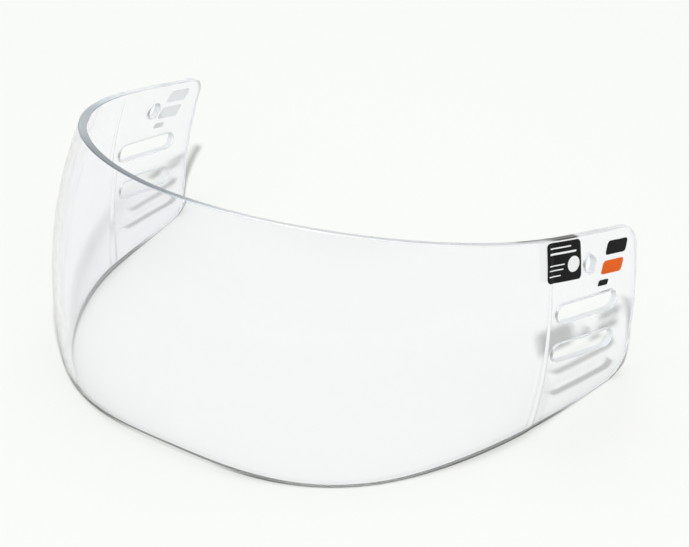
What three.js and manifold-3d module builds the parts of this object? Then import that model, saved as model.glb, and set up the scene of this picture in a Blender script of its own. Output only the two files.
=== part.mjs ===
// Half visor for an ice hockey helmet: one clear curved moulding whose rear ears carry two slots
// and a hole for the helmet's screws, with a blank sticker and printed marks on the ears.
// Millimetres, +Z up, front towards -Y. The visor stands on its lower edge, as on a table.

import * as THREE from 'three';
import { mergeVertices } from 'three/addons/utils/BufferGeometryUtils.js';
import Module from 'manifold-3d';

const wasm = await Module();
wasm.setup();

// Wall and plan: lengths along the top edge are measured from the centre of the front
const WALL = 3;
const HALF_LENGTH = 191;
const NOSE_RADIUS = 70.4;
const CHEEK_RADIUS = 106.4;
const CHEEK_FROM = 45;
const CHEEK_TO = 130;
const EAR_FROM = 166;

// Section of the wall: its outward lean at the top edge, and the bow that brings it in again
const FRONT_LEAN = 4.9;
const SIDE_LEAN = 12.8;
const EAR_LEAN = 13.8;
const SIDE_LEAN_FROM = 95;
const EAR_LEAN_FROM = 110;
const EAR_LEAN_TO = 170;
const BOW_RADIUS = 148;

// Standing position: the top edge is plane and slopes down to the rear
const TOP_SLOPE = 18.4;
const FRONT_HEIGHT = 97.3;

// Lower edge: it stands on two front feet and two rear feet, with low arches between them
const FRONT_ARCH = 2.5;
const SIDE_ARCH = 1.5;
const FRONT_FOOT_FROM = 72;
const FRONT_FOOT_TO = 88;
const REAR_FOOT_FROM = 170;

// Ears
const REAR_RAKE = 5.7;
const RAKE_FROM = 60;
const TOP_CORNER = 6.5;
const BOTTOM_CORNER = 9;
const STEP_AT = 138.4;
const STEP_DEPTH = 0.4;
const STEP_RAMP_TOP = 0.8;
const STEP_RAMP_BOTTOM = 3.8;
const STEP_RAMP_FULL = 63;
const EDGE_BREAK = 0.4;

// Screw hole and slots: places are along the top edge, and below it
const HOLE_DIAMETER = 6;
const HOLE_AT = 163.2;
const HOLE_DOWN = 10.6;
const SLOT_LENGTH = 34.5;
const SLOT_WIDTH = 6.2;
const SLOT_AT = 164;
const SLOT_DOWN = 25.4;
const SLOT_PITCH = 14.2;
const SLOT_RISE = 2.8;
const CUT_OVERRUN = 4;

// Films on the outer faces of the ears
const FILM = 0.2;
const FILM_CLEARANCE = 0.2;
const STICKER_WIDTH = 18.7;
const STICKER_HEIGHT = 13.6;
const STICKER_CORNER = 1.6;
const STICKER_AHEAD_OF_STEP = 1.5;
const STICKER_DOWN = 0.7;
const MARK_AT = 172.6;
const MARK_DOWN = 3.6;
const MARK_LENGTH = 12.5;
const MARK_HEIGHT = 4.6;
const MARK_CORNER = 1.2;
const MARK_GAP = 1.9;
const MARK_LEAN = 19;
const DASH_LENGTH = 6;
const DASH_HEIGHT = 2;
const DASH_CORNER = 0.6;

// Facets
const FRONT_STEPS = 28;
const EAR_STEPS = 9;
const CORNER_STEPS = 7;
const ROWS = 10;
const RAMP_SHARES = [0, 0.22, 0.5, 0.75, 1];
const PLAN_STEPS = 760;
const ROUND_STEPS = 10;
const FILM_CORNER_STEPS = 4;
const FILM_CELL = 2.2;

const radians = THREE.MathUtils.degToRad;
const lerp = THREE.MathUtils.lerp;
const clamp = THREE.MathUtils.clamp;
const smooth = THREE.MathUtils.smoothstep;
const rake = Math.tan(radians(REAR_RAKE));

// Curvature of the plan: tightest at the nose, even over the cheeks, none along the ears
function curvature(s) {
  const nose = 1 / NOSE_RADIUS;
  const cheek = 1 / CHEEK_RADIUS;
  if (s < CHEEK_FROM) {
    return lerp(nose, cheek, s / CHEEK_FROM);
  }
  if (s < CHEEK_TO) {
    return cheek;
  }
  return cheek * clamp((EAR_FROM - s) / (EAR_FROM - CHEEK_TO), 0, 1);
}

// Outer line of the top edge in plan, followed step by step from the centre of the front
const planStep = (HALF_LENGTH + BOTTOM_CORNER + SLOT_WIDTH) / PLAN_STEPS;
const plan = [{ x: 0, y: 0, heading: 0 }];
for (let i = 0; i < PLAN_STEPS; i += 1) {
  const last = plan[i];
  const bend = (curvature(i * planStep) + curvature((i + 1) * planStep)) * planStep / 2;
  const middle = last.heading + bend / 2;
  plan.push({
    x: last.x + Math.cos(middle) * planStep,
    y: last.y + Math.sin(middle) * planStep,
    heading: last.heading + bend,
  });
}

function planAt(s) {
  const place = clamp(s / planStep, 0, PLAN_STEPS - 1e-6);
  const index = Math.floor(place);
  const share = place - index;
  const a = plan[index];
  const b = plan[index + 1];
  return {
    x: lerp(a.x, b.x, share),
    y: lerp(a.y, b.y, share),
    heading: lerp(a.heading, b.heading, share),
  };
}

// Outward lean of the wall at the top edge, as a slope
function leanAt(s) {
  const front = Math.tan(radians(FRONT_LEAN));
  const side = Math.tan(radians(SIDE_LEAN));
  const ear = Math.tan(radians(EAR_LEAN));
  const nearFront = (1 + Math.cos(Math.PI * clamp(s / SIDE_LEAN_FROM, 0, 1))) / 2;
  return side + (front - side) * nearFront + (ear - side) * smooth(s, EAR_LEAN_FROM, EAR_LEAN_TO);
}

// The ear's outer face lies a little inside the lens's, behind a raked ramp that widens downwards
function recessAt(s, down) {
  const ramp = lerp(STEP_RAMP_TOP, STEP_RAMP_BOTTOM, clamp(down / STEP_RAMP_FULL, 0, 1));
  return STEP_DEPTH * clamp((s - STEP_AT - rake * down) / ramp, 0, 1);
}

// A point of the wall: s along the top edge, down below the top plane, inset from the lens's
// outer face. side is 1 on the right and -1 on the left, as seen from the front.
const tiltSin = Math.sin(radians(TOP_SLOPE));
const tiltCos = Math.cos(radians(TOP_SLOPE));
function wallPoint(side, s, down, inset, follow = 1) {
  const at = planAt(s);
  const slope = leanAt(s) - down / BOW_RADIUS;
  const bow = leanAt(s) * down - down * down / (2 * BOW_RADIUS);
  const recess = recessAt(s, down) * follow;
  const out = bow - (inset + recess) * Math.hypot(1, slope);
  const x = at.x + Math.sin(at.heading) * out;
  const y = at.y - Math.cos(at.heading) * out;
  return new THREE.Vector3(side * x, y * tiltCos - down * tiltSin, FRONT_HEIGHT - y * tiltSin - down * tiltCos);
}

// The recess fades from the outer face to none at the inner one
const shellPoint = (side, s, down, inset) => wallPoint(side, s, down, inset, 1 - inset / WALL);

// Columns of the ears lean back with the rear edge
const rakedStation = (u, down) => u + rake * down * smooth(u, RAKE_FROM, STEP_AT);

// Height of the lower edge above the table
function archAt(u) {
  if (u < FRONT_FOOT_FROM) {
    return FRONT_ARCH * Math.cos(Math.PI / 2 * u / FRONT_FOOT_FROM) ** 2;
  }
  const share = clamp((u - FRONT_FOOT_TO) / (REAR_FOOT_FROM - FRONT_FOOT_TO), 0, 1);
  return SIDE_ARCH * Math.sin(Math.PI * share) ** 2;
}

// Depth at which column u, at that inset, comes down to its height above the table
function lowerEdge(u, inset) {
  let high = 0;
  let low = 2 * FRONT_HEIGHT;
  while (low - high > FRONT_HEIGHT * 1e-7) {
    const middle = (high + low) / 2;
    const above = shellPoint(1, rakedStation(u, middle), middle, inset).z > archAt(u);
    high = above ? middle : high;
    low = above ? low : middle;
  }
  return (high + low) / 2;
}

// Drop of a round corner of that radius at a station near the rear edge
function cornerDrop(u, radius) {
  const past = clamp(u - (HALF_LENGTH - radius), 0, radius);
  return radius - Math.sqrt(radius * radius - past * past);
}

function stationList() {
  const stations = [];
  for (let i = 0; i < FRONT_STEPS; i += 1) {
    stations.push(STEP_AT * i / FRONT_STEPS);
  }
  for (const share of RAMP_SHARES) {
    stations.push(STEP_AT + STEP_RAMP_BOTTOM * share);
  }
  const earStart = STEP_AT + STEP_RAMP_BOTTOM;
  const cornerStart = HALF_LENGTH - BOTTOM_CORNER;
  for (let i = 1; i < EAR_STEPS; i += 1) {
    stations.push(lerp(earStart, cornerStart, i / EAR_STEPS));
  }
  for (let i = 0; i <= CORNER_STEPS; i += 1) {
    stations.push(cornerStart + BOTTOM_CORNER * Math.sin(Math.PI / 2 * i / CORNER_STEPS));
  }
  const left = stations.slice(1).reverse().map((u) => ({ side: -1, u }));
  return left.concat(stations.map((u) => ({ side: 1, u })));
}

// Outline of the wall at an inset, as the ends of its columns
function outlineColumns(inset) {
  return stationList().map(({ side, u }) => ({
    top: new THREE.Vector2(side * u, cornerDrop(u, TOP_CORNER)),
    bottom: new THREE.Vector2(side * u, lowerEdge(u, inset) - cornerDrop(u, BOTTOM_CORNER)),
  }));
}

// Loop round a grid of columns: along the top, down the last column, back, and up the first
function loopOf(columns, rows) {
  const last = columns.length - 1;
  const between = (column, row) => column.top.clone().lerp(column.bottom, row / rows);
  const points = columns.map((column) => column.top);
  for (let row = 1; row < rows; row += 1) {
    points.push(between(columns[last], row));
  }
  for (let i = last; i >= 0; i -= 1) {
    points.push(columns[i].bottom);
  }
  for (let row = rows - 1; row > 0; row -= 1) {
    points.push(between(columns[0], row));
  }
  return points;
}

// The same columns with their ends moved inwards by an amount, square to the outline
function insetColumns(columns, rows, amount) {
  const loop = loopOf(columns, rows);
  const moved = loop.map((point, i) => {
    const before = loop[(i + loop.length - 1) % loop.length];
    const after = loop[(i + 1) % loop.length];
    const first = point.clone().sub(before).normalize();
    const second = after.clone().sub(point).normalize();
    const inward = new THREE.Vector2(-first.y - second.y, first.x + second.x);
    const shorten = inward.lengthSq() / 2;
    return point.clone().addScaledVector(inward, amount / shorten);
  });
  const last = columns.length - 1;
  return columns.map((column, i) => ({
    top: moved[i],
    bottom: moved[last + rows + (last - i)],
  }));
}

// Closed body between an outer and an inner grid of columns, with a rim of one or more rings
function closedBody(grids, rims, rows) {
  const points = [];
  const triangles = [];
  const add = (point) => points.push(point) - 1;
  const layGrid = ({ columns, place }) => columns.map((column) => {
    const line = [];
    for (let row = 0; row <= rows; row += 1) {
      line.push(add(place(column.top.clone().lerp(column.bottom, row / rows))));
    }
    return line;
  });
  const loopOfGrid = (grid) => {
    const last = grid.length - 1;
    const loop = grid.map((line) => line[0]);
    for (let row = 1; row < rows; row += 1) {
      loop.push(grid[last][row]);
    }
    for (let i = last; i >= 0; i -= 1) {
      loop.push(grid[i][rows]);
    }
    for (let row = rows - 1; row > 0; row -= 1) {
      loop.push(grid[0][row]);
    }
    return loop;
  };
  const [outer, inner] = grids.map(layGrid);
  for (let i = 0; i + 1 < outer.length; i += 1) {
    for (let row = 0; row < rows; row += 1) {
      const [a, b, c, d] = [outer[i][row], outer[i][row + 1], outer[i + 1][row + 1], outer[i + 1][row]];
      triangles.push(a, b, c, a, c, d);
      const [e, f, g, h] = [inner[i][row], inner[i][row + 1], inner[i + 1][row + 1], inner[i + 1][row]];
      triangles.push(e, g, f, e, h, g);
    }
  }
  const rings = [loopOfGrid(outer)];
  for (const { columns, place } of rims) {
    rings.push(loopOf(columns, rows).map((point) => add(place(point))));
  }
  rings.push(loopOfGrid(inner));
  for (let ring = 0; ring + 1 < rings.length; ring += 1) {
    const [near, far] = [rings[ring], rings[ring + 1]];
    near.forEach((a, i) => {
      const next = (i + 1) % near.length;
      triangles.push(a, near[next], far[next], a, far[next], far[i]);
    });
  }
  return solidFrom(points, triangles);
}

// Indexed geometry with its faces turned out
function solidFrom(points, triangles) {
  let volume = 0;
  for (let i = 0; i < triangles.length; i += 3) {
    const [a, b, c] = [0, 1, 2].map((k) => points[triangles[i + k]]);
    volume += a.dot(b.clone().cross(c));
  }
  const turned = volume < 0 ? triangles.slice().reverse() : triangles;
  const geometry = new THREE.BufferGeometry().setFromPoints(points);
  geometry.setIndex(turned);
  return geometry;
}

function toManifold(geometry) {
  const bare = geometry.clone();
  bare.deleteAttribute('normal');
  bare.deleteAttribute('uv');
  const merged = mergeVertices(bare);
  return new wasm.Manifold(new wasm.Mesh({
    numProp: 3,
    vertProperties: new Float32Array(merged.attributes.position.array),
    triVerts: new Uint32Array(merged.index.array),
  }));
}

function fromManifold(manifold) {
  const mesh = manifold.getMesh();
  const geometry = new THREE.BufferGeometry();
  geometry.setAttribute('position', new THREE.BufferAttribute(new Float32Array(mesh.vertProperties), 3));
  geometry.setIndex(new THREE.BufferAttribute(new Uint32Array(mesh.triVerts), 1));
  geometry.computeVertexNormals();
  return geometry;
}

// Cutter with round ends, driven straight across the visor at a place on the ear. It falls to the
// rear with the top edge, less a rise of its own.
function crossCutter(side, s, down, length, width, rise) {
  const radius = width / 2;
  const half = (length - width) / 2;
  const outline = new THREE.Shape();
  outline.absarc(half, 0, radius, -Math.PI / 2, Math.PI / 2, false);
  outline.absarc(-half, 0, radius, Math.PI / 2, 3 * Math.PI / 2, false);
  const depth = WALL + 2 * CUT_OVERRUN;
  const cutter = new THREE.ExtrudeGeometry(outline, { depth, bevelEnabled: false, curveSegments: ROUND_STEPS });
  const slope = radians(TOP_SLOPE - rise);
  const along = new THREE.Vector3(0, Math.cos(slope), -Math.sin(slope));
  const across = new THREE.Vector3(0, Math.sin(slope), Math.cos(slope));
  const out = along.clone().cross(across);
  const centre = wallPoint(side, s, down, WALL / 2);
  cutter.translate(0, 0, -depth / 2);
  cutter.applyMatrix4(new THREE.Matrix4().makeBasis(along, across, out).setPosition(centre));
  return toManifold(cutter);
}

function visorShell() {
  const faceOf = (inset) => ({
    columns: insetColumns(outlineColumns(inset), ROWS, EDGE_BREAK),
    place: (p) => shellPoint(Math.sign(p.x) || 1, rakedStation(Math.abs(p.x), p.y), p.y, inset),
  });
  const rimOf = (inset) => ({
    columns: outlineColumns(inset),
    place: (p) => shellPoint(Math.sign(p.x) || 1, rakedStation(Math.abs(p.x), p.y), p.y, inset),
  });
  let shell = toManifold(closedBody(
    [faceOf(0), faceOf(WALL)],
    [rimOf(EDGE_BREAK), rimOf(WALL - EDGE_BREAK)],
    ROWS,
  ));
  for (const side of [-1, 1]) {
    shell = shell.subtract(crossCutter(side, HOLE_AT, HOLE_DOWN, HOLE_DIAMETER, HOLE_DIAMETER, 0));
    for (const drop of [0, SLOT_PITCH]) {
      const slotAt = SLOT_AT + rake * drop;
      shell = shell.subtract(crossCutter(side, slotAt, SLOT_DOWN + drop, SLOT_LENGTH, SLOT_WIDTH, SLOT_RISE));
    }
  }
  return fromManifold(shell);
}

// Film with rounded corners that follows the ear's outer face. Its ends lean by a slope, and its
// length and height are taken along the top edge and below it.
function film(side, start, down, length, height, corner, slope) {
  const steps = Math.ceil((length - 2 * corner) / FILM_CELL);
  const intoCorner = (i) => corner * (1 - Math.cos(Math.PI / 2 * i / FILM_CORNER_STEPS));
  const alongs = [];
  for (let i = 0; i < FILM_CORNER_STEPS; i += 1) {
    alongs.push(intoCorner(i));
  }
  for (let i = 0; i <= steps; i += 1) {
    alongs.push(lerp(corner, length - corner, i / steps));
  }
  for (let i = FILM_CORNER_STEPS - 1; i >= 0; i -= 1) {
    alongs.push(length - intoCorner(i));
  }
  const rows = Math.ceil(height / FILM_CELL);
  const columns = alongs.map((along) => {
    const past = clamp(Math.max(corner - along, along - (length - corner)), 0, corner);
    const drop = corner - Math.sqrt(corner * corner - past * past);
    return {
      top: new THREE.Vector2(along, down + drop),
      bottom: new THREE.Vector2(along, down + height - drop),
    };
  });
  const faceOf = (inset) => ({
    columns,
    place: (p) => wallPoint(side, start + p.x + slope * (p.y - down), p.y, inset),
  });
  return closedBody([faceOf(-FILM_CLEARANCE - FILM), faceOf(-FILM_CLEARANCE)], [], rows);
}

const clear = new THREE.MeshStandardMaterial({
  color: 0xf2f6f8, roughness: 0.05, metalness: 0, transparent: true, opacity: 0.3,
});
const black = new THREE.MeshStandardMaterial({ color: 0x16181a, roughness: 0.45, metalness: 0 });
const orange = new THREE.MeshStandardMaterial({ color: 0xe8641b, roughness: 0.4, metalness: 0 });

const group = new THREE.Group();

function place(name, geometry, material) {
  const mesh = new THREE.Mesh(geometry, material);
  mesh.name = name;
  group.add(mesh);
}

place('visor_shell', visorShell(), clear);
const stickerAt = STEP_AT - STICKER_AHEAD_OF_STEP + rake * STICKER_DOWN;
place(
  'blank_sticker',
  film(1, stickerAt, STICKER_DOWN, STICKER_WIDTH, STICKER_HEIGHT, STICKER_CORNER, rake),
  black,
);
const marks = [
  { name: 'upper', length: MARK_LENGTH, height: MARK_HEIGHT, corner: MARK_CORNER, material: black },
  { name: 'middle', length: MARK_LENGTH, height: MARK_HEIGHT, corner: MARK_CORNER, material: orange },
  { name: 'lower', length: DASH_LENGTH, height: DASH_HEIGHT, corner: DASH_CORNER, material: black },
];
const lean = -Math.tan(radians(MARK_LEAN));
for (const [sideName, side] of [['right', 1], ['left', -1]]) {
  let down = MARK_DOWN;
  for (const { name, length, height, corner, material } of marks) {
    const markAt = MARK_AT + lean * (down - MARK_DOWN);
    place(`${sideName}_mark_${name}`, film(side, markAt, down, length, height, corner, lean), material);
    down += height + MARK_GAP;
  }
}

// The origin lies under the middle of the whole part
const box = new THREE.Box3().setFromObject(group);
const middle = box.getCenter(new THREE.Vector3());
for (const mesh of group.children) {
  mesh.geometry.translate(-middle.x, -middle.y, -box.min.z);
}

export default group;
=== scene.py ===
"""Half visor for an ice hockey helmet: the smooth clear moulding, its films, table, light and camera.

A place on the wall is s, the length along the top edge from the nose, and down, the length below that
edge. Flat points are (u, down), where u is s without the rake of the rear, and negative on the left.
"""

import math

import bpy
import numpy as np
from mathutils import Matrix, Vector
from mathutils.geometry import delaunay_2d_cdt


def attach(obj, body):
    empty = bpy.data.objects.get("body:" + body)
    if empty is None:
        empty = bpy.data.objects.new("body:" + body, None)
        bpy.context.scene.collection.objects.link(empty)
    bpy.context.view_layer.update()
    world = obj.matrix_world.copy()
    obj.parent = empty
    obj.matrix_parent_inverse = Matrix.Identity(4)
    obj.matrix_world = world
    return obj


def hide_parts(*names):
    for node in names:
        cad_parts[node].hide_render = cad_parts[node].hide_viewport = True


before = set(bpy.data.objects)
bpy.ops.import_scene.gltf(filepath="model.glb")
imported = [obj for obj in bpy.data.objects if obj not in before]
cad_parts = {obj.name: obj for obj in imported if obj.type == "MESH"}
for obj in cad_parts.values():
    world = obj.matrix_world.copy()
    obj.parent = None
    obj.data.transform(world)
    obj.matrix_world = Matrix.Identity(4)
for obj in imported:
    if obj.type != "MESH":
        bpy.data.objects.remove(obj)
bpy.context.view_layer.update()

MM = 0.001

# Wall and plan, in mm
WALL = 3.0
HALF_LENGTH = 191.0
NOSE_RADIUS = 70.4
CHEEK_RADIUS = 106.4
CHEEK_FROM = 45.0
CHEEK_TO = 130.0
EAR_FROM = 166.0

# Outward lean of the wall below the top edge, in degrees, and the bow that brings it in again
FRONT_LEAN = 4.9
SIDE_LEAN = 12.8
EAR_LEAN = 13.8
SIDE_LEAN_FROM = 95.0
EAR_LEAN_FROM = 110.0
EAR_LEAN_TO = 170.0
BOW_RADIUS = 148.0

# Slope of the top edge as the visor stands, in degrees, and where that edge lies at the nose
TOP_SLOPE = 18.4
FRONT_HEIGHT = 97.3
FRONT_Y = -59.397

# Lower edge: arches between the feet
FRONT_ARCH = 2.5
SIDE_ARCH = 1.5
FRONT_FOOT_FROM = 72.0
FRONT_FOOT_TO = 88.0
REAR_FOOT_FROM = 170.0

# Rear edge with its rake in degrees, the corners, the step before the ears and the rounded rims
REAR_RAKE = 5.7
RAKE_FROM = 60.0
TOP_CORNER = 6.5
BOTTOM_CORNER = 9.0
STEP_AT = 138.4
STEP_DEPTH = 0.4
STEP_RAMP_TOP = 0.8
STEP_RAMP_BOTTOM = 3.8
STEP_RAMP_FULL = 63.0
EDGE_ROUND = 0.45

# Hole and slots in each ear, with the slots' rise towards the rear in degrees
HOLE_DIAMETER = 6.0
HOLE_AT = 163.2
HOLE_DOWN = 10.6
SLOT_LENGTH = 34.5
SLOT_WIDTH = 6.2
SLOT_AT = 164.0
SLOT_DOWN = 25.4
SLOT_PITCH = 14.2
SLOT_RISE = 2.8

# Sticker on the right ear: its ends along the top edge, and how far it is below that and off the wall
STICKER_FROM = 136.9
STICKER_TO = 155.6
STICKER_DOWN = 0.7
STICKER_OUT = 0.4

# Spacing of the mesh in mm, and steps round its corners, cuts and rims
EDGE_SPACING = 2.0
GRID_SPACING = 2.4
GRID_ROWS = 36
GRID_MARGIN = 0.7
CORNER_STEPS = 10
CUT_STEPS = 14
RIM_STEPS = 4

# Columns of the mesh over the step's ramp, as shares of its width, closer together at its ends
RAMP_COLUMNS = (-0.35, -0.12, 0, 0.12, 0.3, 0.5, 0.7, 0.88, 1, 1.12, 1.35)

# How finely the wall is worked out, in mm and numbers of places and steps
PLAN_SPACING = 0.05
PLAN_PAST_END = 20
LOWER_EDGE_PLACES = 381
LOWER_EDGE_HALVINGS = 40
NORMAL_REACH = 0.02
MERGE_WITHIN = 1e-6

# What delaunay_2d_cdt calls its result of the triangles inside an outline
TRIANGLES_INSIDE = 1

# Shade of the rims, from 0 where lamps shine through to 1 where they hardly do. In cuts it grows with
# the upward part of the rim's direction, from the first to the second of two values
TOP_EDGE_SHADE = 0.0
NOSE_SHADE = 0.25
NOSE_SHADE_FROM = 50.0
NOSE_SHADE_TO = 20.0
CUT_SHADE = 0.12
CUT_FACES_DOWN = -0.25
CUT_FACES_UP = 0.25

# Clearness and tint of the rims; the blue-grey, deep, low and cut-end tints are painted shade
RIM_CLEAR = 0.6
PALE_RIM_CLEAR = 0.25
LOW_RIM_CLEAR = 0.12
CUT_CLEAR = 0.2
# Painted shade: blue-grey of a stretch of the top rim
PAINTED_SHADE_RIM_TINT = (0.765, 0.865, 0.94)
PALE_RIM_TINT = (0.95, 0.97, 1.0)
# Painted shade: deeper blue-grey in the middle of that stretch
DEEP_PAINTED_SHADE_RIM_TINT = (0.34, 0.41, 0.48)
# Painted shade: dark olive along the lower rim, which stands on the table
LOW_RIM_PAINTED_SHADE_TINT = (0.15, 0.16, 0.15)
LOW_RIM_FROM = 172.0
LOW_RIM_TO = 152.0
CUT_TINT = (0.9, 0.925, 0.95)
# Painted shade: dark at the front ends of the cuts
CUT_END_PAINTED_SHADE_TINT = (0.3, 0.32, 0.32)
CUT_END_POWER = 8

# Stretches of the top rim with painted shade, by four places each: blue-grey, and deepest in its middle
PAINTED_SHADE_STRETCH = (-150.0, -100.0, 0.0, 30.0)
DEEP_PAINTED_SHADE_STRETCH = (-80.0, -42.0, -14.0, 15.0)

# Painted reflection of the sticker's black in the rim above it, which reaches further forward at the inner
# face
PAINTED_STICKER_REFLECTION_TINT = (0.02, 0.02, 0.018)
STICKER_SPREAD_OUTER = -8.0
STICKER_SPREAD_INNER = 12.0
STICKER_FADE = 6.0

# Fine matt lines where the step's ramp starts and ends, tinted dark grey as painted shade, and their width as
# a share of the ramp's
STEP_LINE = 0.13
STEP_MATT_FRONT = 0.3
STEP_MATT_REAR = 0.6
# Painted shade: dark grey of the step's lines
STEP_LINE_PAINTED_SHADE_TINT = (0.44, 0.46, 0.46)

# Clear plastic, with what is left of a lamp's light behind its faces, slanting faces and rims
CLEAR_IOR = 1.585
FACE_TINT = (0.965, 0.962, 0.985, 1)
FACE_SHADOW = (0.99, 0.992, 0.995, 1)
SLANT_SHADOW = (0.0, 0.0, 0.0, 1)
SLANT_BLEND = 0.5
SLANT_POWER = 8.0
RIM_SHADOW = (0.03, 0.03, 0.025, 1)
RIM_ROUGHNESS = (0.22, 0.42)
RIM_GRAIN_SCALE = 900.0
RIPPLE_SCALE = 45.0
RIPPLE_HEIGHT = 0.004 * MM

# Films, with the side towards the wall
FILM_BLACK = (0.004, 0.004, 0.0045)
FILM_ORANGE = (0.8, 0.12, 0.004)
FILM_BACK = (0.9, 0.91, 0.92, 1)
FILM_SHINE = 0.07
FILM_ROUGHNESS = (0.34, 0.5)
FILM_GRAIN_SCALE = 900.0
FILM_GRAIN_HEIGHT = 0.004 * MM
INK_MOTTLE = (0.8, 1.2)
INK_MOTTLE_SCALE = 160.0

# Plain marks on the sticker, in mm from its corner: a disc and bars as (from, to, down, height)
STICKER_PALE = (0.88, 0.89, 0.9, 1)
STICKER_BACK = (0.02, 0.02, 0.021, 1)
DISC_ACROSS = 15.2
DISC_DOWN = 8.1
DISC_HALF_LENGTH = 3.3
DISC_HALF_HEIGHT = 2.7
STICKER_BARS = (
    (1.9, 13.4, 1.8, 0.45),
    (1.9, 16.4, 3.7, 0.7),
    (1.9, 10.1, 7.6, 0.4),
    (1.9, 9.5, 9.2, 0.4),
    (1.9, 8.2, 11.2, 0.4),
)

# Table, in metres, which turns into the backdrop between two distances from its middle
TABLE_REACH = 3.0
TABLE_WHITE = (0.93, 0.94, 0.925, 1)
TABLE_ROUGHNESS = 0.9
TABLE_TO = 0.3
BACKDROP_FROM = 0.9

# Studio round it, which turns from white to dark between two upward parts of a direction
FILL_LEVEL = 0.45
STUDIO_DARK = (0.22, 0.23, 0.2, 1)
WHITE_UP_TO = 0.12
DARK_FROM = 0.45

# Lamps, in metres
KEY_PLACE = (0.65, -0.74, 1.37)
KEY_TARGET = (0, 0, 0.03)
KEY_SIZE = 0.075
KEY_ENERGY = 6.45
BACK_PLACE = (-0.6, 0.75, 0.95)
BACK_TARGET = (0, 0, 0)
BACK_SIZE = 0.9
BACK_ENERGY = 2.6
LIGHT_BOUNCES = 32

# Camera, fitted in the visor's own frame, whose top edge is level: degrees, mm and pixels
CAMERA_AZIMUTH = 32.483
CAMERA_ELEVATION = 17.001
CAMERA_ROLL = -9.987
CAMERA_PLACE = (496.59, -667.27, 237.34)
CAMERA_FOCUS = 2655.7
PICTURE_WIDTH = 689
SENSOR_WIDTH = 36

# Nearest and furthest that the camera sees, in metres
CLIP_FROM = 0.01
CLIP_TO = 100

RAKE = math.tan(math.radians(REAR_RAKE))
TILT_SIN = math.sin(math.radians(TOP_SLOPE))
TILT_COS = math.cos(math.radians(TOP_SLOPE))


# Surface of the wall
def smooth(x, start, end):
    """0 at the start and 1 at the end, which may lie either way, with an even ease between them."""
    share = np.clip((x - start) / (end - start), 0, 1)
    return share * share * (3 - 2 * share)


def stretch(x, places):
    """1 between the two middle places, fading to 0 at the outer ones."""
    return smooth(x, places[0], places[1]) * (1 - smooth(x, places[2], places[3]))


def blend(first, second, share):
    """The first where the share is 0 and the second where it is 1, for numbers or colours."""
    if np.ndim(second):
        share = share[:, None]
    return np.array(first) + share * (np.array(second) - first)


def unit(vectors):
    return vectors / np.linalg.norm(vectors, axis=1)[:, None]


def curvature(s):
    """Of the top edge in plan: tightest at the nose, even over the cheek and none along the ear."""
    nose = 1 / NOSE_RADIUS
    cheek = 1 / CHEEK_RADIUS
    front = nose + (cheek - nose) * np.clip(s / CHEEK_FROM, 0, 1)
    return np.where(s < CHEEK_TO, front, cheek * np.clip((EAR_FROM - s) / (EAR_FROM - CHEEK_TO), 0, 1))


def plan_table():
    """Lengths along the top edge with its x, y and heading in plan, all from the nose."""
    s = np.arange(0, HALF_LENGTH + PLAN_PAST_END, PLAN_SPACING)
    bend = curvature(s)
    heading = np.concatenate([[0], np.cumsum((bend[1:] + bend[:-1]) / 2 * PLAN_SPACING)])
    middle = (heading[1:] + heading[:-1]) / 2
    x = np.concatenate([[0], np.cumsum(np.cos(middle) * PLAN_SPACING)])
    y = np.concatenate([[0], np.cumsum(np.sin(middle) * PLAN_SPACING)])
    return s, x, y, heading


PLAN = plan_table()


def lean(s):
    """How far the wall leans outwards for each mm down, at the top edge."""
    front, side, ear = (math.tan(math.radians(angle)) for angle in (FRONT_LEAN, SIDE_LEAN, EAR_LEAN))
    near_front = (1 + np.cos(np.pi * np.clip(s / SIDE_LEAN_FROM, 0, 1))) / 2
    return side + (front - side) * near_front + (ear - side) * smooth(s, EAR_LEAN_FROM, EAR_LEAN_TO)


def ramp_width(down):
    """Width of the step's ramp, which grows with the length below the top edge."""
    return STEP_RAMP_TOP + (STEP_RAMP_BOTTOM - STEP_RAMP_TOP) * np.clip(down / STEP_RAMP_FULL, 0, 1)


def recess(s, down):
    """How far the outer face is set back, behind the step and on its ramp."""
    start = STEP_AT + RAKE * down
    return STEP_DEPTH * smooth(s, start, start + ramp_width(down))


def wall_point(side, s, down, inset, follow=1.0):
    """Places in mm, inset from the outer face, which follow its step by a share of its depth."""
    x = np.interp(s, PLAN[0], PLAN[1])
    y = np.interp(s, PLAN[0], PLAN[2])
    heading = np.interp(s, PLAN[0], PLAN[3])
    slope = lean(s) - down / BOW_RADIUS
    bow = lean(s) * down - down * down / (2 * BOW_RADIUS)
    out = bow - (inset + recess(s, down) * follow) * np.hypot(1, slope)
    x = x + np.sin(heading) * out
    y = y - np.cos(heading) * out
    z = FRONT_HEIGHT - y * TILT_SIN - down * TILT_COS
    return np.stack([side * x, y * TILT_COS - down * TILT_SIN + FRONT_Y, z], axis=-1)


def raked(u, down):
    """The s of a flat point."""
    return u + RAKE * down * smooth(u, RAKE_FROM, STEP_AT)


def arch(u):
    """Height of the lower edge above the table."""
    front = FRONT_ARCH * np.cos(np.pi / 2 * np.clip(u / FRONT_FOOT_FROM, 0, 1)) ** 2
    share = np.clip((u - FRONT_FOOT_TO) / (REAR_FOOT_FROM - FRONT_FOOT_TO), 0, 1)
    return np.where(u < FRONT_FOOT_FROM, front, SIDE_ARCH * np.sin(np.pi * share) ** 2)


def lower_edge_table(inset):
    """Values of u, and how far down the wall ends there in its feet and arches, found by halving."""
    u = np.linspace(0, HALF_LENGTH, LOWER_EDGE_PLACES)
    high = np.zeros_like(u)
    low = np.full_like(u, 2 * FRONT_HEIGHT)
    for _ in range(LOWER_EDGE_HALVINGS):
        middle = (high + low) / 2
        point = wall_point(1, raked(u, middle), middle, inset, 1 - inset / WALL)
        above = point[:, 2] > arch(u)
        high = np.where(above, middle, high)
        low = np.where(above, low, middle)
    return u, (high + low) / 2


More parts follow.
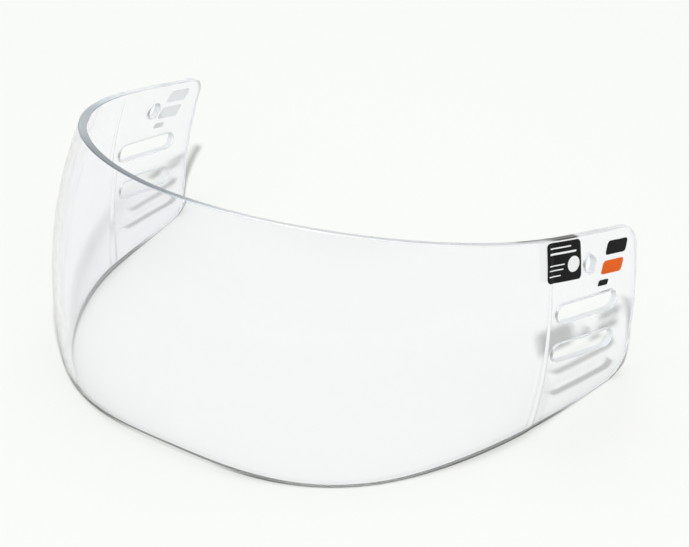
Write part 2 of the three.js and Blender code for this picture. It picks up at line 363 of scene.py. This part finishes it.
LOWER_EDGE_OUTER = lower_edge_table(0.0)
LOWER_EDGE_INNER = lower_edge_table(WALL)


def lower_edge(u, inset=WALL / 2):
    """How far down the wall ends, from the middle of its thickness or another inset."""
    outer = np.interp(u, *LOWER_EDGE_OUTER)
    inner = np.interp(u, *LOWER_EDGE_INNER)
    return outer + (inner - outer) * inset / WALL


def on_wall(flat, inset):
    """Places in mm of flat points at an inset, whose own lower edge they keep to."""
    side = np.where(flat[:, 0] < 0, -1.0, 1.0)
    u = np.minimum(np.abs(flat[:, 0]), HALF_LENGTH)
    extra = np.abs(flat[:, 0]) - u
    down = flat[:, 1] * lower_edge(u, inset) / lower_edge(u)
    follow = np.clip(1 - inset / WALL, 0, 1)
    return wall_point(side, raked(u, down) + extra, down, inset, follow)


def wall_frame(flat, inset):
    """Directions along the wall, down it and out of it at flat points."""
    across = [NORMAL_REACH, 0]
    below = [0, NORMAL_REACH]
    along = on_wall(flat + across, inset) - on_wall(flat - across, inset)
    down = on_wall(flat + below, inset) - on_wall(flat - below, inset)
    out = unit(np.cross(down, along))
    return along / (2 * NORMAL_REACH), down / (2 * NORMAL_REACH), out


# Outline and cuts
def outline():
    """Loop round the wall as flat points, clockwise as seen from outside."""
    half = [(u, 0.0) for u in np.arange(0, HALF_LENGTH - TOP_CORNER, EDGE_SPACING)]
    angles = [math.pi / 2 * step / CORNER_STEPS for step in range(CORNER_STEPS + 1)]
    for angle in angles:
        u = HALF_LENGTH - TOP_CORNER * (1 - math.sin(angle))
        half.append((u, TOP_CORNER * (1 - math.cos(angle))))
    rear_end = float(lower_edge(HALF_LENGTH)) - BOTTOM_CORNER - EDGE_SPACING / 2
    for down in np.arange(TOP_CORNER + EDGE_SPACING, rear_end, EDGE_SPACING):
        half.append((HALF_LENGTH, down))
    for angle in angles:
        u = HALF_LENGTH - BOTTOM_CORNER * (1 - math.cos(angle))
        half.append((u, float(lower_edge(u)) - BOTTOM_CORNER * (1 - math.sin(angle))))
    for u in np.arange(HALF_LENGTH - BOTTOM_CORNER - EDGE_SPACING, EDGE_SPACING / 4, -EDGE_SPACING):
        half.append((u, float(lower_edge(u))))
    half.append((0.0, float(lower_edge(0.0))))
    left = [(-u, down) for u, down in half[1:-1]]
    return np.array(half + left[::-1])


def round_ended(side, s, down, length, width, rise):
    """Loop round a slot, or round a hole when its length is its width."""
    radius = width / 2
    half = (length - width) / 2
    # A slot has straight sides between its two arcs, and a hole's arcs share their ends
    straight = np.arange(-half + EDGE_SPACING, half - EDGE_SPACING / 2, EDGE_SPACING)
    shared = 0 if half > 0 else 1
    local = []
    for end, skipped in ((1, 0), (-1, shared)):
        for step in range(skipped, CUT_STEPS + 1 - skipped):
            angle = -end * math.pi / 2 + math.pi * step / CUT_STEPS
            local.append((end * half + radius * math.cos(angle), radius * math.sin(angle)))
        local += [(-end * x, end * radius) for x in straight]
    slope = math.radians(-rise)
    loop = []
    for x, y in local:
        place = s + x * math.cos(slope) - y * math.sin(slope)
        depth = down + x * math.sin(slope) + y * math.cos(slope)
        loop.append((side * (place - RAKE * depth), depth))
    return np.array(loop[::-1])


def wall_loops():
    """The outline, and then the cuts."""
    loops = [outline()]
    for side in (-1, 1):
        loops.append(round_ended(side, HOLE_AT, HOLE_DOWN, HOLE_DIAMETER, HOLE_DIAMETER, 0))
        for drop in (0, SLOT_PITCH):
            s = SLOT_AT + RAKE * drop
            loops.append(round_ended(side, s, SLOT_DOWN + drop, SLOT_LENGTH, SLOT_WIDTH, SLOT_RISE))
    return loops


def into_material(loop, is_cut):
    """Flat unit directions into the material at each point of a loop."""
    x, y = loop[:, 0], loop[:, 1]
    turn = np.sign(np.sum(x * np.roll(y, -1) - y * np.roll(x, -1)))
    tangent = unit(loop - np.roll(loop, 1, axis=0)) + unit(np.roll(loop, -1, axis=0) - loop)
    normal = unit(np.stack([-tangent[:, 1], tangent[:, 0]], axis=1))
    return normal * (-turn if is_cut else turn)


def inside(points, loop):
    """Whether points are inside a loop: a line from there to one side crosses it an odd number of times."""
    x, y = points[:, 0][:, None], points[:, 1][:, None]
    from_x, from_y = loop[:, 0][None], loop[:, 1][None]
    to_x, to_y = np.roll(loop[:, 0], -1)[None], np.roll(loop[:, 1], -1)[None]
    crosses = (from_y > y) != (to_y > y)
    rise = np.where(to_y == from_y, 1, to_y - from_y)
    at = from_x + (y - from_y) * (to_x - from_x) / rise
    return (np.sum(crosses & (x < at), axis=1) % 2) == 1


def in_material(points, loops):
    """Whether points are inside the first loop and outside the others."""
    found = inside(points, loops[0])
    for loop in loops[1:]:
        found &= ~inside(points, loop)
    return found


def clearance(points, loop):
    """Distance from each point to the nearest side of a loop."""
    start = loop[None]
    side = np.roll(loop, -1, axis=0)[None] - start
    point = points[:, None]
    share = np.clip(np.sum((point - start) * side, axis=2) / np.sum(side ** 2, axis=2), 0, 1)
    nearest = start + side * share[..., None]
    return np.min(np.linalg.norm(point - nearest, axis=2), axis=1)


def grid_points():
    """Flat points in columns, which lie closer together over the step's ramp and follow it."""
    columns = [(u, 0.0) for u in np.arange(0, STEP_AT - GRID_SPACING / 2, GRID_SPACING)]
    columns += [(STEP_AT, share) for share in RAMP_COLUMNS]
    behind = np.arange(STEP_AT + STEP_RAMP_BOTTOM + GRID_SPACING, HALF_LENGTH, GRID_SPACING)
    columns += [(u, 0.0) for u in behind]
    points = []
    for base, share in columns:
        at_top = base + ramp_width(0.0) * share
        down = lower_edge(at_top) * np.linspace(0, 1, GRID_ROWS + 1)
        u = base + ramp_width(down) * share
        points.append(np.stack([u, down], axis=1))
        if at_top > 0:
            points.append(np.stack([-u, down], axis=1))
    return np.concatenate(points)


def face_mesh(loops):
    """Flat points and triangles between the loops, and which of the points lie round each loop."""
    grid = grid_points()
    keep = in_material(grid, loops)
    for loop in loops:
        keep &= clearance(grid, loop) > GRID_MARGIN
    given = [Vector(point) for point in np.concatenate([*loops, grid[keep]]).tolist()]
    rings = []
    sides = []
    start = 0
    for loop in loops:
        ring = np.arange(start, start + len(loop))
        rings.append(ring)
        sides += np.stack([ring, np.roll(ring, -1)], axis=1).tolist()
        start += len(loop)
    flat, _, faces, origins, _, _ = delaunay_2d_cdt(given, sides, [], TRIANGLES_INSIDE, MERGE_WITHIN)
    flat = np.array([tuple(point) for point in flat])
    faces = np.array(faces)
    faces = faces[in_material(flat[faces].mean(axis=1), loops)]
    place = {old: new for new, olds in enumerate(origins) for old in olds}
    return flat, faces, [np.array([place[old] for old in ring]) for ring in rings]


# Looks of the moulding's points: rim is how matt and tinted they are, clear how well one sees through them,
# shade how much of a lamp's light they keep back, and tint their colour, which holds painted shade on the
# rims and step lines and the sticker's painted reflection
def step_looks(flat):
    """Of the outer face, which is clear but for the matt lines along the step, tinted with painted shade."""
    along = (np.abs(flat[:, 0]) - STEP_AT) / ramp_width(flat[:, 1])
    line = (
        STEP_MATT_FRONT * np.exp(-(along / STEP_LINE) ** 2)
        + STEP_MATT_REAR * np.exp(-((along - 1) / STEP_LINE) ** 2))
    return {"rim": line, "clear": blend(1, RIM_CLEAR, line), "shade": line, "tint": STEP_LINE_PAINTED_SHADE_TINT}


def plain_looks():
    """Of the inner face, which is clear all over."""
    return {"rim": 0, "clear": 1, "shade": 0, "tint": STEP_LINE_PAINTED_SHADE_TINT}


def edge_looks(loop, way, inset):
    """Of the rim round the wall: pale along the top, blue-grey there in a stretch of painted shade, dark
    along the bottom as painted shade, and black above the sticker as its painted reflection.
    """
    along = loop[:, 0]
    top = loop[:, 1] < TOP_CORNER / 2
    low = np.clip(-way[:, 1], 0, 1) * smooth(np.abs(along), LOW_RIM_FROM, LOW_RIM_TO)
    nose = low * smooth(np.abs(along), NOSE_SHADE_FROM, NOSE_SHADE_TO)
    grey = stretch(along, PAINTED_SHADE_STRETCH)
    # Painted shade: blue-grey over a stretch of the top rim, deepest in its middle
    tint = blend(PALE_RIM_TINT, PAINTED_SHADE_RIM_TINT, grey)
    tint = blend(tint, DEEP_PAINTED_SHADE_RIM_TINT, stretch(along, DEEP_PAINTED_SHADE_STRETCH))
    # Painted shade: dark along the lower rim
    tint = blend(tint, LOW_RIM_PAINTED_SHADE_TINT, low)
    # Painted reflection of the sticker's black in the top rim above it
    spread = STICKER_SPREAD_OUTER + (STICKER_SPREAD_INNER - STICKER_SPREAD_OUTER) * inset / WALL
    black_from = STICKER_FROM - spread
    black = smooth(along, black_from - STICKER_FADE, black_from) * (along < STICKER_TO) * top
    return {
        "rim": 1,
        "clear": blend(blend(PALE_RIM_CLEAR, RIM_CLEAR, grey), LOW_RIM_CLEAR, low),
        "shade": np.where(top, TOP_EDGE_SHADE, blend(1, NOSE_SHADE, nose)),
        "tint": blend(tint, PAINTED_STICKER_REFLECTION_TINT, black),
    }


def cut_looks(loop, way, out):
    """Of the rim round a cut, which shades what faces up and is darkest at its front end, in painted shade.
    """
    upward = np.clip((out[:, 2] - CUT_FACES_DOWN) / (CUT_FACES_UP - CUT_FACES_DOWN), 0, 1)
    # Painted shade at the cut's front end
    ahead = np.clip(-way[:, 0] * np.sign(loop[:, 0]), 0, 1) ** CUT_END_POWER
    return {
        "rim": 1,
        "clear": CUT_CLEAR,
        "shade": blend(CUT_SHADE, 1, upward),
        "tint": blend(CUT_TINT, CUT_END_PAINTED_SHADE_TINT, ahead),
    }


# Mesh of the moulding
class Skin:
    """Points with their normals and looks, and the triangles between them."""

    def __init__(self):
        self.points = np.zeros((0, 3))
        self.normals = np.zeros((0, 3))
        self.looks = {name: np.zeros(0) for name in ("rim", "clear", "shade")}
        self.looks["tint"] = np.zeros((0, 3))
        self.triangles = np.zeros((0, 3), int)

    def add(self, points, normals, looks):
        """Adds points and gives back their numbers."""
        first = len(self.points)
        self.points = np.concatenate([self.points, points])
        self.normals = np.concatenate([self.normals, normals])
        for name, earlier in self.looks.items():
            shape = (len(points), *earlier.shape[1:])
            self.looks[name] = np.concatenate([earlier, np.broadcast_to(looks[name], shape)])
        return np.arange(first, len(self.points))

    def cover(self, triangles):
        """Adds triangles, turned to face along their points' normals."""
        corners = self.points[triangles]
        facing = np.cross(corners[:, 1] - corners[:, 0], corners[:, 2] - corners[:, 0])
        if np.sum(facing * self.normals[triangles].mean(axis=1)) < 0:
            triangles = triangles[:, ::-1]
        self.triangles = np.concatenate([self.triangles, triangles])

    def join(self, near, far):
        """Adds a band of triangles between two rings of points."""
        near_next = np.roll(near, -1)
        far_next = np.roll(far, -1)
        self.cover(np.concatenate([
            np.stack([near, near_next, far_next], axis=1),
            np.stack([near, far_next, far], axis=1)]))


def rim_profile():
    """(inset, share of the face's normal, share of the rim's normal) across the rounded rim."""
    angles = [math.pi / 2 * step / RIM_STEPS for step in range(1, RIM_STEPS + 1)]
    outer = [(EDGE_ROUND * (1 - math.cos(angle)), math.cos(angle), math.sin(angle)) for angle in angles]
    return outer + [(WALL - inset, -facing, edging) for inset, facing, edging in reversed(outer)]


def moulding_skin():
    """The outer and the inner face, and round each loop the rounded rim that joins them."""
    loops = wall_loops()
    ways = [into_material(loop, index > 0) for index, loop in enumerate(loops)]
    flat, faces, rings = face_mesh([loop + way * EDGE_ROUND for loop, way in zip(loops, ways)])
    skin = Skin()
    outer = skin.add(on_wall(flat, 0.0), wall_frame(flat, 0.0)[2], step_looks(flat))
    inner = skin.add(on_wall(flat, WALL), -wall_frame(flat, WALL)[2], plain_looks())
    skin.cover(outer[faces])
    skin.cover(inner[faces])
    for index, (loop, way, ring) in enumerate(zip(loops, ways, rings)):
        near = outer[ring]
        for inset, facing, edging in rim_profile():
            at = loop + way * EDGE_ROUND * (1 - edging)
            along, down, normal = wall_frame(at, inset)
            out = -unit(along * way[:, :1] + down * way[:, 1:])
            looks = cut_looks(loop, way, out) if index > 0 else edge_looks(loop, way, inset)
            far = skin.add(on_wall(at, inset), normal * facing + out * edging, looks)
            skin.join(near, far)
            near = far
        skin.join(near, inner[ring])
    return skin


def mesh_object(name, points, triangles):
    mesh = bpy.data.meshes.new(name)
    mesh.from_pydata(points.tolist(), [], triangles.tolist())
    mesh.update()
    mesh.shade_smooth()
    item = bpy.data.objects.new(name, mesh)
    bpy.context.scene.collection.objects.link(item)
    return item


def build_moulding():
    skin = moulding_skin()
    moulding = mesh_object("clear_moulding", skin.points * MM, skin.triangles)
    mesh = moulding.data
    mesh.normals_split_custom_set_from_vertices(unit(skin.normals).tolist())
    for name, values in skin.looks.items():
        kind, field = ("FLOAT_VECTOR", "vector") if values.ndim == 2 else ("FLOAT", "value")
        attribute = mesh.attributes.new(name, kind, "POINT")
        attribute.data.foreach_set(field, values.astype(np.float32).ravel())
    mesh.materials.append(clear_plastic())
    return moulding


# Nodes of a material
def new_material(name):
    material = bpy.data.materials.new(name)
    material.use_nodes = True
    tree = material.node_tree
    return material, tree, tree.nodes["Principled BSDF"]


def feed(tree, value, socket):
    """Links a socket to another node's output, or sets it to a number, colour or vector."""
    if isinstance(value, bpy.types.NodeSocket):
        tree.links.new(value, socket)
    else:
        socket.default_value = value


def compute(tree, operation, *values):
    node = tree.nodes.new("ShaderNodeMath")
    node.operation = operation
    for value, socket in zip(values, node.inputs):
        feed(tree, value, socket)
    return node.outputs["Value"]


def compute_vector(tree, operation, *vectors):
    node = tree.nodes.new("ShaderNodeVectorMath")
    node.operation = operation
    for vector, socket in zip(vectors, node.inputs):
        feed(tree, vector, socket)
    return node


def part_of(tree, vector, axis):
    node = tree.nodes.new("ShaderNodeSeparateXYZ")
    feed(tree, vector, node.inputs["Vector"])
    return node.outputs[axis]


def mixed(tree, factor, first, second):
    """The first colour where the factor is 0 and the second where it is 1."""
    node = tree.nodes.new("ShaderNodeMix")
    node.data_type = "RGBA"
    feed(tree, factor, node.inputs["Factor"])
    feed(tree, first, node.inputs["A"])
    feed(tree, second, node.inputs["B"])
    return node.outputs["Result"]


def between(tree, share, low, high):
    """From low where the share is 0 to high where it is 1."""
    node = tree.nodes.new("ShaderNodeMapRange")
    feed(tree, share, node.inputs["Value"])
    feed(tree, low, node.inputs["To Min"])
    feed(tree, high, node.inputs["To Max"])
    return node.outputs["Result"]


def eased(tree, value, start, end):
    """0 up to the start and 1 from the end, with an even ease between them."""
    node = tree.nodes.new("ShaderNodeMapRange")
    node.interpolation_type = "SMOOTHSTEP"
    feed(tree, value, node.inputs["Value"])
    feed(tree, start, node.inputs["From Min"])
    feed(tree, end, node.inputs["From Max"])
    return node.outputs["Result"]


def noise(tree, place, scale):
    node = tree.nodes.new("ShaderNodeTexNoise")
    feed(tree, place, node.inputs["Vector"])
    feed(tree, scale, node.inputs["Scale"])
    return node.outputs["Fac"]


def bumped(tree, relief, height):
    """Normals of a relief from 0 to 1, which is as high as given."""
    node = tree.nodes.new("ShaderNodeBump")
    feed(tree, relief, node.inputs["Height"])
    feed(tree, height, node.inputs["Distance"])
    return node.outputs["Normal"]


def look(tree, name, output="Fac"):
    """One of the looks that the moulding's points carry."""
    node = tree.nodes.new("ShaderNodeAttribute")
    node.attribute_name = name
    return node.outputs[output]


def seen_rays(tree):
    """1 for rays off glossy and through clear surfaces, and 1 for those and the camera's own."""
    path = tree.nodes.new("ShaderNodeLightPath")
    bent = compute(tree, "MAXIMUM", path.outputs["Is Glossy Ray"], path.outputs["Is Transmission Ray"])
    return bent, compute(tree, "MAXIMUM", path.outputs["Is Camera Ray"], bent)


def surface(tree, factor, first, second):
    """Gives the material the first shader where the factor is 0 and the second where it is 1."""
    mix = tree.nodes.new("ShaderNodeMixShader")
    feed(tree, factor, mix.inputs["Fac"])
    feed(tree, first, mix.inputs[1])
    feed(tree, second, mix.inputs[2])
    tree.links.new(mix.outputs["Shader"], tree.nodes["Material Output"].inputs["Surface"])


# Materials
def clear_plastic():
    """Clear faces with a faint ripple, and sawn rims ground to a fine matt, tinted blue-grey and dark in
    places as painted shade.
    """
    material, tree, shader = new_material("clear_polycarbonate")
    place = tree.nodes.new("ShaderNodeTexCoord").outputs["Object"]
    rim = look(tree, "rim")
    ground = between(tree, noise(tree, place, RIM_GRAIN_SCALE), *RIM_ROUGHNESS)
    feed(tree, CLEAR_IOR, shader.inputs["IOR"])
    feed(tree, look(tree, "clear"), shader.inputs["Transmission Weight"])
    feed(tree, compute(tree, "MULTIPLY", ground, rim), shader.inputs["Roughness"])
    feed(tree, mixed(tree, rim, FACE_TINT, look(tree, "tint", "Vector")), shader.inputs["Base Color"])
    feed(tree, bumped(tree, noise(tree, place, RIPPLE_SCALE), RIPPLE_HEIGHT), shader.inputs["Normal"])

    # Lamps shine through the wall, less so where it is edge-on to them, and hardly at all through
    # its rims, which bend the light away
    slant = tree.nodes.new("ShaderNodeLayerWeight")
    feed(tree, SLANT_BLEND, slant.inputs["Blend"])
    mirrored = compute(tree, "POWER", slant.outputs["Facing"], SLANT_POWER)
    faces = mixed(tree, mirrored, FACE_SHADOW, SLANT_SHADOW)
    through = tree.nodes.new("ShaderNodeBsdfTransparent")
    feed(tree, mixed(tree, look(tree, "shade"), faces, RIM_SHADOW), through.inputs["Color"])
    path = tree.nodes.new("ShaderNodeLightPath")
    lit = compute(tree, "MAXIMUM", path.outputs["Is Shadow Ray"], path.outputs["Is Diffuse Ray"])
    surface(tree, lit, shader.outputs["BSDF"], through.outputs["BSDF"])
    return material


def film(name, colour, back, pale_marks=None):
    """Printed film with a fine grain, its own colour towards the wall, and any pale marks outside."""
    material, tree, shader = new_material(name)
    coords = tree.nodes.new("ShaderNodeTexCoord")
    place = coords.outputs["Object"]
    grain = noise(tree, place, FILM_GRAIN_SCALE)
    feed(tree, FILM_SHINE, shader.inputs["Specular IOR Level"])
    feed(tree, between(tree, grain, *FILM_ROUGHNESS), shader.inputs["Roughness"])
    feed(tree, bumped(tree, grain, FILM_GRAIN_HEIGHT), shader.inputs["Normal"])
    deep, bright = ((*(level * c for c in colour), 1) for level in INK_MOTTLE)
    ink = mixed(tree, noise(tree, place, INK_MOTTLE_SCALE), deep, bright)
    # The ears' outer sides face away from the middle of the visor
    away = compute(tree, "MULTIPLY", part_of(tree, place, "X"), part_of(tree, coords.outputs["Normal"], "X"))
    face = mixed(tree, compute(tree, "LESS_THAN", away, 0.0), ink, back)
    if pale_marks:
        pale = compute(tree, "MULTIPLY", pale_marks(tree, place), compute(tree, "GREATER_THAN", away, 0.0))
        face = mixed(tree, pale, face, STICKER_PALE)
    feed(tree, face, shader.inputs["Base Color"])
    return material


def sticker_spot(across, down):
    """Place in mm on the sticker, from its corner."""
    return wall_point(1, STICKER_FROM + across, STICKER_DOWN + down, -STICKER_OUT)


def sticker_marks(tree, place):
    """1 on a plain disc and plain bars, and 0 beside them."""
    from_disc = compute_vector(tree, "SUBTRACT", place, sticker_spot(DISC_ACROSS, DISC_DOWN) * MM)
    lengths = []
    for step_across, step_down in ((1, 0), (0, 1)):
        step = (
            sticker_spot(DISC_ACROSS + step_across, DISC_DOWN + step_down)
            - sticker_spot(DISC_ACROSS - step_across, DISC_DOWN - step_down)) / 2
        dot = compute_vector(tree, "DOT_PRODUCT", from_disc.outputs["Vector"], step / np.dot(step, step) / MM)
        lengths.append(dot.outputs["Value"])
    squares = []
    for length, reach in zip(lengths, (DISC_HALF_LENGTH, DISC_HALF_HEIGHT)):
        share = compute(tree, "DIVIDE", length, reach)
        squares.append(compute(tree, "MULTIPLY", share, share))
    marks = compute(tree, "LESS_THAN", compute(tree, "ADD", *squares), 1.0)
    across = compute(tree, "ADD", lengths[0], DISC_ACROSS)
    down = compute(tree, "ADD", lengths[1], DISC_DOWN)
    for start, end, level, height in STICKER_BARS:
        sideways = compute(tree, "COMPARE", across, (start + end) / 2, (end - start) / 2)
        upright = compute(tree, "COMPARE", down, level, height / 2)
        marks = compute(tree, "MAXIMUM", marks, compute(tree, "MULTIPLY", sideways, upright))
    return marks


def white_table():
    """White paper under the visor, which turns into an even backdrop further out."""
    material, tree, shader = new_material("white_table")
    feed(tree, TABLE_WHITE, shader.inputs["Base Color"])
    feed(tree, TABLE_ROUGHNESS, shader.inputs["Roughness"])
    feed(tree, 0.0, shader.inputs["Specular IOR Level"])
    backdrop = tree.nodes.new("ShaderNodeEmission")
    feed(tree, TABLE_WHITE, backdrop.inputs["Color"])
    place = tree.nodes.new("ShaderNodeTexCoord").outputs["Object"]
    distance = compute_vector(tree, "LENGTH", place).outputs["Value"]
    _, seen = seen_rays(tree)
    shown = compute(tree, "MULTIPLY", eased(tree, distance, TABLE_TO, BACKDROP_FROM), seen)
    surface(tree, shown, shader.outputs["BSDF"], backdrop.outputs["Emission"])
    return material


def dress_films():
    """Gives the sticker and the marks, which stay the frame's own solids, their materials."""
    black = film("black_film", FILM_BLACK, FILM_BACK)
    orange = film("orange_film", FILM_ORANGE, FILM_BACK)
    sticker = film("black_sticker", FILM_BLACK, STICKER_BACK, sticker_marks)
    for name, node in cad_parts.items():
        if name == "visor_shell":
            continue
        node.data.materials.clear()
        if name == "blank_sticker":
            node.data.materials.append(sticker)
        else:
            node.data.materials.append(orange if "middle" in name else black)


# Table, light and camera
def build_table():
    corners = [(-1, -1, 0), (1, -1, 0), (1, 1, 0), (-1, 1, 0)]
    table = mesh_object("table", np.array(corners) * TABLE_REACH, np.array([(0, 1, 2), (0, 2, 3)]))
    table.data.materials.append(white_table())
    return table


def studio_world():
    """White round the horizon and a dim room above it, which only glossy and clear surfaces show."""
    world = bpy.data.worlds.new("studio")
    bpy.context.scene.world = world
    world.use_nodes = True
    tree = world.node_tree
    background = tree.nodes["Background"]
    bent, seen = seen_rays(tree)
    direction = tree.nodes.new("ShaderNodeTexCoord").outputs["Generated"]
    up = eased(tree, part_of(tree, direction, "Z"), WHITE_UP_TO, DARK_FROM)
    sky = mixed(tree, compute(tree, "MULTIPLY", up, bent), TABLE_WHITE, STUDIO_DARK)
    feed(tree, sky, background.inputs["Color"])
    feed(tree, between(tree, seen, FILL_LEVEL, 1.0), background.inputs["Strength"])


def area_light(name, place, target, size, energy):
    lamp = bpy.data.lights.new(name, "AREA")
    lamp.size = size
    lamp.energy = energy
    item = bpy.data.objects.new(name, lamp)
    bpy.context.scene.collection.objects.link(item)
    item.location = place
    item.rotation_euler = (Vector(target) - Vector(place)).to_track_quat("-Z", "Y").to_euler()
    return lamp


def even_out(lamp):
    """Makes a lamp as bright far away as near by."""
    lamp.use_nodes = True
    nodes = lamp.node_tree.nodes
    falloff = nodes.new("ShaderNodeLightFalloff")
    falloff.inputs["Strength"].default_value = 1.0
    lamp.node_tree.links.new(falloff.outputs["Constant"], nodes["Emission"].inputs["Strength"])


def tipped(vector):
    """A direction or place in the visor's own frame, tipped as the visor stands."""
    x, y, z = vector
    return Vector((x, y * TILT_COS + z * TILT_SIN, -y * TILT_SIN + z * TILT_COS))


def build_camera():
    angles = (CAMERA_AZIMUTH, CAMERA_ELEVATION, CAMERA_ROLL)
    azimuth, elevation, roll = (math.radians(angle) for angle in angles)
    forward = Vector((
        -math.sin(azimuth) * math.cos(elevation),
        math.cos(azimuth) * math.cos(elevation),
        -math.sin(elevation)))
    level = Vector((math.cos(azimuth), math.sin(azimuth), 0))
    below = forward.cross(level)
    right = level * math.cos(roll) + below * math.sin(roll)
    below = below * math.cos(roll) - level * math.sin(roll)
    right, below, forward = (tipped(vector) for vector in (right, below, forward))
    place = (tipped(CAMERA_PLACE) + Vector((0, FRONT_Y, FRONT_HEIGHT))) * MM
    camera = bpy.data.objects.new("camera", bpy.data.cameras.new("camera"))
    bpy.context.scene.collection.objects.link(camera)
    camera.matrix_world = Matrix.Translation(place) @ Matrix((right, -below, -forward)).transposed().to_4x4()
    camera.data.sensor_fit = "HORIZONTAL"
    camera.data.sensor_width = SENSOR_WIDTH
    camera.data.lens = CAMERA_FOCUS / PICTURE_WIDTH * SENSOR_WIDTH
    camera.data.clip_start = CLIP_FROM
    camera.data.clip_end = CLIP_TO
    return camera


shell = build_moulding()
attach(shell, "root")
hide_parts("visor_shell")

dress_films()

table = build_table()

studio_world()
key = area_light("key", KEY_PLACE, KEY_TARGET, KEY_SIZE, KEY_ENERGY)
even_out(key)
area_light("back_fill", BACK_PLACE, BACK_TARGET, BACK_SIZE, BACK_ENERGY)

scene = bpy.context.scene
scene.camera = build_camera()
scene.view_settings.view_transform = "Standard"
scene.cycles.max_bounces = LIGHT_BOUNCES
scene.cycles.transmission_bounces = LIGHT_BOUNCES
